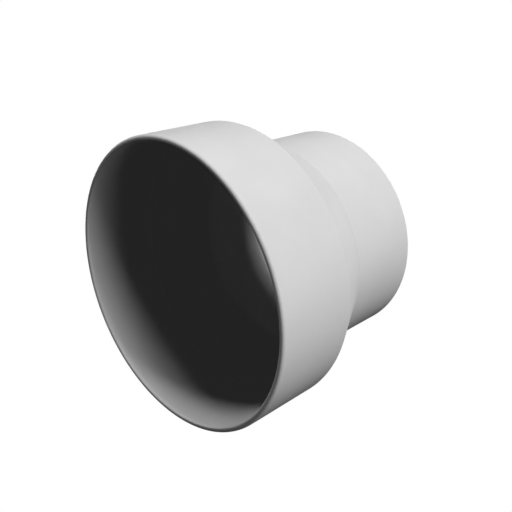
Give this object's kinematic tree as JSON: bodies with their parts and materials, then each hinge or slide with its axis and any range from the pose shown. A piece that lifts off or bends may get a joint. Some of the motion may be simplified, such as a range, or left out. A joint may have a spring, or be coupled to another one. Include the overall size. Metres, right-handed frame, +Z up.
{
  "type": "pipe reducer",
  "caption": "Round plastic pipe reducer that joins a wide pipe to a narrower one on the same axis, with a plain end on each side.",
  "frame": {"origin": "centre of the wide mouth's front plane, on the pipe's axis", "axes": "+Y along the pipe's axis, from the wide mouth towards the narrow end; +Z up"},
  "size_m": [0.16, 0.125, 0.16],
  "materials": {
    "grey_pvc": "satin light grey rigid PVC"
  },
  "bodies": {
    "root": {"large_collar": "grey_pvc", "transition_cone": "grey_pvc", "small_collar": "grey_pvc"}
  },
  "joints": []
}
